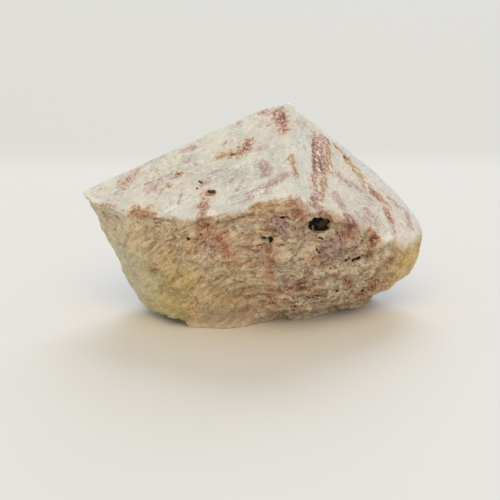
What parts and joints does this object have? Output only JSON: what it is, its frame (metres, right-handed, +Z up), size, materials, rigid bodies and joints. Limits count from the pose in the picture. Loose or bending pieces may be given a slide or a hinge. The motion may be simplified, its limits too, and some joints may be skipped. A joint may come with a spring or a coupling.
{
  "type": "tourmalinated quartz point",
  "caption": "Broken lump of milky quartz with pink tourmaline, ground to flat polished faces that meet in an off-centre point, standing on a sawn base.",
  "frame": {"origin": "bottom centre of the stone's bounding box, level with the sawn base", "axes": "+X towards the low blunt end, +Y towards the back, +Z up"},
  "size_m": [0.1004, 0.0622, 0.0615],
  "materials": {
    "tourmaline_in_quartz": "opaque milky quartz with pink tourmaline: polished faces above, broken and iron-stained below"
  },
  "bodies": {
    "root": {"quartz_point": "tourmaline_in_quartz"}
  },
  "joints": []
}
